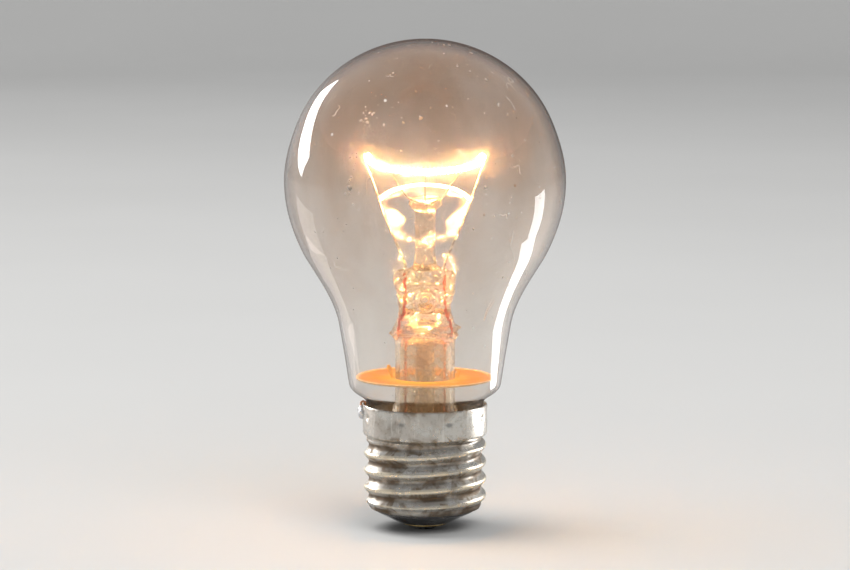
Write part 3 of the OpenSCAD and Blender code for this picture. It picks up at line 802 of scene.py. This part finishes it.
def make_inner_lead(name, side):
    """Nickel lead from its weld in the press, over a soft bend, straight up to the hook that is
    crimped round the filament's end. A lead is a little thicker at its weld."""
    end = np.array([FILAMENT_HALF, FILAMENT_Z])
    foot = np.array([LEAD_X, PRESS_TOP + 0.5 * MM])
    rise = foot + 0.06 * (end - foot)
    top = hook(end, COIL_R + LEAD_R + 0.05 * MM, rise)
    stem = smooth_path([[LEAD_X, WELD_HIGH], [LEAD_X, PRESS_TOP - 0.3 * MM], foot, rise,
                        rise + 0.45 * (top[0] - rise) + [0.25 * MM, 0],
                        rise + 0.85 * (top[0] - rise), top[0]], 9)
    line = np.vstack([stem, top[1:]])
    radius = LEAD_R * (1 + 0.25 * hump(np.linspace(0, 1, len(line)), 0, 0.05))
    tube("lead_" + name, "inner_lead_" + name, NICKEL, turned(*line.T, 0) * [side, 1, 1], radius,
         side=(0, side, 0))


def make_seal_wire(name, side):
    """Red copper-coated wire in the press, with a swollen weld at each end."""
    z = np.linspace(WELD_LOW, WELD_HIGH, 40)
    swell = hump(z, WELD_LOW, 0.5 * MM) + hump(z, WELD_HIGH, 0.5 * MM)
    x = LEAD_X + 0.06 * MM * np.sin((z - WELD_LOW) * 500)
    tube("press_wire_" + name, "seal_wire_" + name, COATED, stacked(side * x, 0, z),
         LEAD_R * (1 + 0.35 * swell), sides=18)


# -------- deflector

def make_deflector():
    """Amber disc: a closed ring of revolution with a curled rim, gently warped, joined with two
    bent tabs that lean on the stem tube."""
    hole, out, low, t = STEM_R + 0.1 * MM, DISC_R, DISC_LOW[2], 0.25 * MM
    under = [[hole, 0], [out - 0.7 * MM, 0], [out - 0.15 * MM, 0.2 * MM], [out, 0.5 * MM]]
    top = [[out - 0.25 * MM, 0.6 * MM], [out - 0.4 * MM, 0.4 * MM], [out - 0.8 * MM, t], [hole, t]]
    s = np.linspace(0, 3, 40)
    profile = np.vstack([along_corners(under, s), along_corners(top, s)])

    def warp(r, z, a):
        lift = 0.09 * MM * ripple(np.cos(a) * 1.5 + r * 120, np.sin(a) * 1.5, 41, 3)
        return r, low + z + lift * ease(r, hole + 1 * MM, out)

    revolved("deflector_disc", "heat_deflector", MICA, profile, 256, loop=True, shape=warp)
    for name, angle, height, twist in (("left", 180, 3.0 * MM, 38), ("right", 14, 1.5 * MM, -15)):
        make_tab(name, math.radians(angle), hole, low + t * 0.4, height, math.radians(twist))


def make_tab(name, angle, hole, base, height, twist):
    """Thin bent tab: rounded rectangles stacked along a path that curls up from the disc and leans
    outwards by 18 degrees. They narrow to a rounded end and turn by the twist on the way up."""
    s = np.linspace(0, 1, 24)[:, None]
    lean = math.radians(18)
    half_w = 0.9 * MM * np.sqrt(1 - ease(s, 0.6, 1.0) * 0.75)
    half_t = 0.125 * MM
    c, n = np.cos(once_round(32)), np.sin(once_round(32))
    across = half_w * np.sign(n) * np.abs(n) ** 0.35
    thick = half_t * np.sign(c) * np.abs(c) ** 0.35
    turn = twist * s
    out = hole + 0.42 * MM + s * height * math.sin(lean)
    radial = out + thick * np.cos(turn) + across * np.sin(turn)
    side = across * np.cos(turn) - thick * np.sin(turn)
    skin("deflector_tab_" + name, None, MICA, stacked(
        radial * math.cos(angle) - side * math.sin(angle),
        radial * math.sin(angle) + side * math.cos(angle), base + s * height * math.cos(lean)))


# -------- cap

def shell_radius(z, a):
    """Outside radius of the cap: root + depth * (0.5 + 0.5 cos(2 pi z / pitch - a)), faded in above
    the lip and out below the collar."""
    fade = ease(z, SHELL_Z + 0.6 * MM, SHELL_Z + 2 * MM)
    fade = fade * (1 - ease(z, COLLAR_Z - 1.6 * MM, COLLAR_Z - 0.2 * MM))
    wave = 0.5 + 0.5 * np.cos(TAU * z / THREAD_PITCH - a)
    plain = ROOT_R + (COLLAR_R - ROOT_R) * ease(z, COLLAR_Z - 1 * MM, COLLAR_Z + 0.4 * MM)
    return plain + (THREAD_R - ROOT_R) * wave * fade


def make_shell():
    """Threaded sheet shell as one closed skin: lip, thread, collar with a row of small dents where
    it was pressed onto the cement, and a rounded rim."""
    a = once_round(280)
    z = np.append(np.linspace(SHELL_Z + 0.6 * MM, RIM_Z - 0.25 * MM, 170),
                  [RIM_Z - 0.12 * MM, RIM_Z])[:, None]
    dents, dent_size = 8, 0.55 * MM
    from_dent = np.abs((a * dents / TAU) % 1 - 0.5) / dents * TAU * COLLAR_R
    dent = hump(from_dent, 0, dent_size) * hump(z, RIM_Z - 2.4 * MM, dent_size)
    wall = shell_radius(z, a) - 0.32 * MM * dent
    wall = wall + 0.035 * MM * ripple(np.cos(a) * 2 + z * 180, np.sin(a) * 2.2, 51, 3)
    edge = ease(z, RIM_Z - 0.3 * MM, RIM_Z) * 0.1 * MM

    def rings(corners):
        r, z = np.array(corners).T[:, :, None]
        return turned(r, z, a)

    lip_z, bend_r = SHELL_Z - 0.2 * MM, ROOT_R - 0.35 * MM
    outer = [rings([[LIP_R, lip_z], [LIP_R + 0.5 * MM, lip_z], [bend_r, SHELL_Z]]),
             turned(wall - edge, z, a)]
    inner = [rings([[LIP_R, lip_z + CAP_SHEET], [bend_r - CAP_SHEET * 0.6, SHELL_Z + CAP_SHEET]]),
             turned(wall - CAP_SHEET + edge, z, a)]
    skin("threaded_shell", "cap_shell", CAP_METAL,
         np.concatenate(outer + [np.concatenate(inner)[::-1]]), loop=True)


def make_insulator():
    """Black glass cone: a profile of revolution whose visible face is slightly wavy, with shallow
    moulding ribs."""
    (_, _, low), (full_r, _, high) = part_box("cap_insulator")
    bore, neck_r, steps = 1.54 * MM, LIP_R - 0.04 * MM, 12
    points = [[bore, low], [5.0 * MM, low], [5.35 * MM, low + 0.05 * MM],
              [neck_r - 0.1 * MM, SHELL_Z - 0.65 * MM], [neck_r, SHELL_Z - 0.45 * MM],
              [neck_r, SHELL_Z + 0.5 * MM], [neck_r + 0.5 * MM, SHELL_Z + 0.9 * MM],
              [full_r - 0.3 * MM, SHELL_Z + 1.0 * MM], [full_r, SHELL_Z + 1.5 * MM],
              [full_r, high], [full_r - 1.8 * MM, high - 0.2 * MM],
              [neck_r * 0.6, SHELL_Z + 0.4 * MM], [bore + 1 * MM, SHELL_Z - 0.4 * MM],
              [bore, SHELL_Z - 0.6 * MM]]
    profile = along_corners(points + points[:1], np.arange(len(points) * steps) / steps)

    def wavy(r, z, a):
        face = ease(r, 5.5 * MM, 6.5 * MM) * (1 - ease(r, neck_r - 1.2 * MM, neck_r - 0.4 * MM))
        face = face * (1 - ease(z, SHELL_Z - 0.4 * MM, SHELL_Z))
        wave = ripple(np.cos(a) * 2 + r * 400, np.sin(a) * 2, 61, 3)
        return r, z + 0.08 * MM * (wave + np.cos(12 * a)) * face

    revolved("black_glass_cone", "cap_insulator", BLACK_GLASS, profile, 240, True, wavy)


def make_contact():
    """Brass contact plate with its hollow eyelet: a closed profile of revolution with rounded
    edges and a faint ring that the holder's spring wore into it."""
    (_, _, low), (out, _, high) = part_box("contact_plate")
    bore, eyelet, top = 1.0 * MM, 1.5 * MM, low + 0.4 * MM
    points = [[bore, low], [3.6 * MM, low], [3.75 * MM, low + 0.06 * MM], [3.9 * MM, low],
              [out - 0.3 * MM, low], [out - 0.06 * MM, low + 0.1 * MM], [out, low + 0.25 * MM],
              [out - 0.03 * MM, top], [eyelet, top], [eyelet, high - 0.1 * MM],
              [eyelet - 0.1 * MM, high], [bore + 0.1 * MM, high], [bore, high - 0.1 * MM]]
    profile = along_corners(points + points[:1], np.linspace(0, len(points), 120, endpoint=False))
    revolved("brass_contact", "contact_plate", BRASS, profile, 128, loop=True)


def make_contact_solder():
    """Solder blob on the contact: a flattened dome of revolution with a lumpy, scored surface."""
    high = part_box("contact_solder")[1][2]
    flat_r, foot_r, dome_h, neck_r = 1.4 * MM, 3.0 * MM, 0.9 * MM, 0.96 * MM
    a = np.linspace(0, QUARTER, 40)
    flat = stacked(np.linspace(CENTRE, flat_r, 16, endpoint=False), 0)
    dome = stacked(flat_r + (foot_r - flat_r) * np.sin(a), dome_h * (1 - np.cos(a)))
    back = [[foot_r - 0.1 * MM, dome_h], [neck_r, dome_h], [neck_r, high], [CENTRE, high]]

    def lumpy(r, z, a):
        skirt = ease(r, 1.0 * MM, 1.7 * MM) * (1 - ease(z, dome_h - 0.06 * MM, dome_h))
        swell = 1 + 0.09 * ripple(np.cos(a) * 2.2, np.sin(a) * 2.2 + z * 900, 71, 3) * skirt
        dent = 0.07 * MM * (0.5 + 0.5 * ripple(r * np.cos(a) * 1900, r * np.sin(a) * 1900, 72, 3))
        return r * swell, z + dent * skirt

    revolved("contact_blob", "contact_solder", SOLDER, np.vstack([flat, dome, back]), 128,
             shape=lumpy)


def make_side_solder():
    """Solder blob on the cap's rim: a flattened dome on the collar, as
    centre + w * (cos u * height, sin u cos v, sin u sin v), lumpy and drawn down a little."""
    blob_r, blob_h = 1.7 * MM, 1.15 * MM
    u, v = np.linspace(0.02, math.pi - 0.02, 48)[:, None], once_round(72)
    y, z = np.cos(v) * np.sin(u), np.sin(v) * np.sin(u)
    lump = 1 + 0.2 * ripple(y * 2.4, z * 2.4 + np.cos(u), 81, 4)
    across = blob_r * y * lump
    out = np.where(np.cos(u) > 0, blob_h * np.cos(u) * lump, 0.12 * MM * np.cos(u))
    x = -np.sqrt((COLLAR_R + 0.01 * MM + out) ** 2 - across ** 2)
    skin("rim_blob", "side_solder", SOLDER,
         stacked(x, -across, RIM_Z - 1.75 * MM + blob_r * 0.92 * z * lump))


def make_side_lead():
    """Copper lead from the stem, under the seal, up through the cement and over the cap's rim."""
    channel = TAIL_R + 0.4 * MM
    solder_x = COLLAR_R + LEAD_R + 0.1 * MM
    points = [
        [LEAD_X, WELD_LOW], [LEAD_X, SEAL_Z + 8 * MM], [LEAD_X, SEAL_Z + 1 * MM],
        [LEAD_X + 1 * MM, SEAL_Z - 0.6 * MM], [channel - 1.2 * MM, SEAL_Z - 1.4 * MM],
        [channel - 0.3 * MM, SEAL_Z - 1 * MM], [channel, SEAL_Z], [channel, RIM_Z - 1.7 * MM],
        [channel + 0.17 * MM, RIM_Z - 0.3 * MM], [channel + 0.22 * MM, RIM_Z + 0.15 * MM],
        [channel + 0.5 * MM, RIM_Z + 0.38 * MM], [COLLAR_R + 0.1 * MM, RIM_Z + 0.34 * MM],
        [solder_x, RIM_Z], [solder_x, RIM_Z - 1 * MM]]
    path = turned(*smooth_path(points, 8).T, 0) * [-1, 1, 1]
    tube("rim_lead", "side_lead", COPPER, path, LEAD_R)


def dress_cad_nodes():
    """Finishes of the CAD nodes whose own shape shows as it is."""
    for node, finish in (("contact_lead_upper", COPPER), ("contact_lead_lower", COPPER),
                         ("fuse_wire", NICKEL), ("fuse_sleeve", STEM), ("basing_cement", CEMENT)):
        mesh = bpy.data.objects[node].data
        mesh.materials.clear()
        mesh.materials.append(finish[1])


# -------- dust

def glass_places(share, angle, rng):
    """Points on the outside of the envelope, at shares of the outline's length from the crown and
    at angles round it, each with its normal and two directions along the glass that are square to
    each other and turned at random."""
    side = envelope_side(0.0)
    along = np.append(0, np.cumsum(np.linalg.norm(np.diff(side, axis=0), axis=1)))
    s, near = share * along[-1], 0.2 * MM
    here, before, after = (
        stacked(np.interp(s + step, along, side[:, 0]), np.interp(s + step, along, side[:, 1]))
        for step in (0, -near, near))
    dr, dz = unit(after - before).T
    normal = turned(-dz, dr, angle)
    e = unit(np.cross([0.0, 0.0, 1.0], normal))
    f = np.cross(normal, e)
    turn = rng.uniform(0, TAU, len(share))[:, None]
    return (turned(*here.T, angle), normal, np.cos(turn) * e + np.sin(turn) * f,
            np.cos(turn) * f - np.sin(turn) * e)


def make_flecks(name, share, angle, size, rng):
    """Flecks of dust on the outside of the glass. Each is a squashed double cone over an uneven
    six-sided rim, of a random size, turn and stretch, laid flat."""
    count, sides = len(share), 6
    point, normal, e, f = glass_places(share, angle, rng)
    radius = size * rng.lognormal(0, 0.5, count)[:, None]
    long_r = radius * rng.uniform(1.0, 1.9, count)[:, None]
    lift = 0.35 * np.minimum(radius, 0.08 * MM) * normal
    a = once_round(sides)[:, None]
    rim = np.cos(a) * (long_r * e)[:, None] + np.sin(a) * (radius * f)[:, None]
    rim = (point + lift)[:, None] + rng.uniform(0.6, 1.35, (count, sides, 1)) * rim
    points = np.concatenate([rim, (point + 2 * lift)[:, None], point[:, None]], axis=1)
    k = np.arange(sides)
    beside = (k + 1) % sides
    cones = np.vstack([stacked(k, beside, sides), stacked(beside, k, sides + 1)])
    make_many(name, DUST, points, np.zeros((0, 4), int), cones)


def make_lint(name, share, angle, length, rng):
    """Curled hairs on the glass. Each follows a path whose heading is a curl plus a slow sine of
    the distance along it, laid on the surface, and is swept with a thin round section."""
    count, steps, sides = len(share), 26, 5

    def draw(low, high):
        return rng.uniform(low, high, (count, 1))

    point, normal, e, f = (part[:, None] for part in glass_places(share, angle, rng))
    t = np.linspace(0, 1, steps)
    curl = draw(1.2, 3.4) * rng.choice([-1, 1], (count, 1))
    heading = curl * t + draw(0.5, 1.4) * np.sin(draw(6, 13) * t + draw(0, TAU))
    step = length * draw(0.6, 1.3) / steps
    u, v = np.cumsum(np.cos(heading) * step, 1), np.cumsum(np.sin(heading) * step, 1)
    radius = 0.045 * MM * (0.6 + 0.4 * np.sin(math.pi * t)) * draw(0.7, 1.5)
    lift = radius - (u ** 2 + v ** 2) / (2 * GLOBE_R)
    line = point + u[..., None] * e + v[..., None] * f + lift[..., None] * normal
    across = np.cos(heading)[..., None] * f - np.sin(heading)[..., None] * e
    a = once_round(sides)[:, None]
    ring = np.cos(a) * across[:, :, None] + np.sin(a) * normal[:, None]
    rows = line[:, :, None] + radius[..., None, None] * ring
    points = np.concatenate([rows.reshape(count, -1, 3), line[:, :1], line[:, -1:]], axis=1)
    make_many(name, DUST, points, *skin_faces(steps, sides))


def scatter_dust():
    """Fine dust all over, a few clusters of coarser flecks, and curled lint. Shares run down the
    outline from the crown; angles are in degrees, with 270 at the front."""
    rng = np.random.default_rng(91)
    fine = 520
    make_flecks("dust_fine", 0.9 * rng.beta(1.5, 1.5, fine), rng.uniform(0, TAU, fine), 0.05 * MM,
                rng)
    # Each cluster: its share and angle, how far it spreads in both, and its number of flecks
    clusters = ((0.415, 240, 0.035, 1.6, 26), (0.29, 244, 0.02, 3, 16), (0.4, 292, 0.06, 7, 8),
                (0.13, 285, 0.08, 30, 22), (0.55, 300, 0.1, 14, 10), (0.48, 95, 0.1, 30, 16))
    share = np.concatenate([rng.normal(c[0], c[2], c[4]) for c in clusters])
    angle = np.concatenate([rng.normal(c[1], c[3], c[4]) for c in clusters])
    make_flecks("dust_coarse", np.clip(share, 0.01, 0.9), np.radians(angle), 0.13 * MM, rng)
    lint = ((0.33, 215), (0.62, 228), (0.5, 301), (0.3, 222), (0.42, 312), (0.2, 250), (0.7, 258),
            (0.55, 120), (0.35, 75), (0.45, 20), (0.25, 160), (0.6, 340))
    share, angle = np.array(lint).T
    make_lint("lint", share, np.radians(angle), 3.8 * MM, rng)


# -------- floor, light, camera

def make_floor():
    """Pale floor that curves up all round into a backdrop, as a profile of revolution."""
    flat_r, bend, wall, around = 1.6, 0.6, 0.9, 96
    a = np.linspace(0, QUARTER, 24)[1:]
    flat = stacked(np.linspace(0.001, flat_r, 20), 0)
    curve = stacked(flat_r + bend * np.sin(a), bend * (1 - np.cos(a)))
    profile = np.vstack([flat, curve, [[flat_r + bend, wall]]])[::-1]
    rows = turned(profile[:, :1], profile[:, 1:], once_round(around))
    quads, fans = skin_faces(len(rows), around)
    # Only the fan at the centre is kept: the backdrop is open at its top
    floor = mesh_object("floor", FLOOR, np.vstack([rows.reshape(-1, 3), [[0, 0, 0]]]), quads,
                        fans[around:] - [0, 0, 1])


def softbox(name, bearing, rise, distance, size, strength, tilt=0.0, centre_z=GLOBE_Z,
            colour=(1, 1, 1), shapes_glass=True):
    """Rectangular soft lamp that faces the bulb's axis at the height centre_z. bearing is its angle
    in degrees from straight behind, to the right; rise is its height angle; tilt turns it in its
    own plane; strength is the brightness of its face. A lamp that shapes the glass shows in gloss
    and doesn't light the room; the others do the opposite."""
    lamp = bpy.data.lights.new(name, "AREA")
    lamp.shape = "RECTANGLE"
    lamp.size, lamp.size_y = size
    lamp.energy = strength * math.pi * size[0] * size[1]
    lamp.color = colour
    holder = new_object(name, lamp)
    bearing, rise = math.radians(bearing), math.radians(rise)
    level = math.cos(rise)
    away = Vector((math.sin(bearing) * level, math.cos(bearing) * level, math.sin(rise)))
    holder.location = Vector((0, 0, centre_z)) + distance * away
    holder.rotation_mode = "QUATERNION"
    facing = (-away).to_track_quat("-Z", "Y")
    holder.rotation_quaternion = facing @ Quaternion((0, 0, 1), math.radians(tilt))
    holder.visible_camera = holder.visible_transmission = False
    holder.visible_diffuse = not shapes_glass
    holder.visible_glossy = shapes_glass


def make_lights():
    """A window-like softbox behind on the left, two strips low on the right and two warm cards low
    on the left shape the glass. Two large soft lamps and an even sky light the bulb and floor."""
    warm = (1, 0.92, 0.89)
    softbox("window_left", -47.2, 14.4, 0.968, (0.659, 0.23), 12.0, -27.1)
    softbox("strip_right_low", 76.6, 0.8, 0.0576, (0.0443, 0.015), 7.0, -41.6, 0.0269)
    softbox("strip_right_tall", 79.2, 0.5, 0.129, (0.0277, 0.0549), 7.0, 18.3, 0.0323)
    softbox("card_left_far", -68.9, 6.2, 0.1036, (0.0386, 0.0465), 0.95, -27.2, 0.0203, warm)
    softbox("card_left_near", -64.4, 11.3, 0.0608, (0.0238, 0.033), 0.95, -60, 0.0189, warm)
    softbox("soft_front", 155, 42, 1.6, (1.2, 0.9), 4.0, shapes_glass=False)
    softbox("soft_top", -75, 60, 1.5, (1.1, 1.1), 4.2, shapes_glass=False)
    world = bpy.data.worlds.new("studio")
    bpy.context.scene.world = world
    world.use_nodes = True
    sky = world.node_tree.nodes["Background"].inputs
    sky["Color"].default_value = (0.55, 0.56, 0.58, 1)
    sky["Strength"].default_value = 0.8


def make_camera():
    """Camera a little above the cap's rim, nearly level, with the whole bulb in view."""
    distance, rise, aim_z = 0.76, 0.145, 0.0525
    view_width, sensor = 0.18008474576, 36.0
    camera = bpy.data.cameras.new("camera")
    camera.sensor_width = sensor
    camera.lens = distance * sensor / view_width
    camera.clip_start, camera.clip_end = 0.01, 20
    holder = new_object("camera", camera)
    holder.location = (0, -distance, rise)
    pitch = math.atan2(rise - aim_z, distance)
    holder.rotation_euler = (QUARTER - pitch, 0, 0)
    bpy.context.scene.camera = holder


for make in (make_envelope, make_stem, make_rod, make_exhaust_tube, make_filament_coil):
    make()
for support_name, support_angle in SUPPORT_ANGLES.items():
    make_support(support_name, support_angle)
for side_name, side_sign in (("left", -1), ("right", 1)):
    make_inner_lead(side_name, side_sign)
    make_seal_wire(side_name, side_sign)
for make in (make_deflector, make_shell, make_insulator, make_contact, make_contact_solder,
             make_side_solder, make_side_lead, dress_cad_nodes, scatter_dust, make_floor,
             make_lights, make_camera):
    make()

scene = bpy.context.scene
scene.view_settings.view_transform = "Standard"
cycles = scene.cycles
cycles.max_bounces = cycles.transmission_bounces = cycles.transparent_max_bounces = 32
cycles.glossy_bounces = 12
cycles.caustics_reflective = cycles.caustics_refractive = False
cycles.sample_clamp_indirect = 0
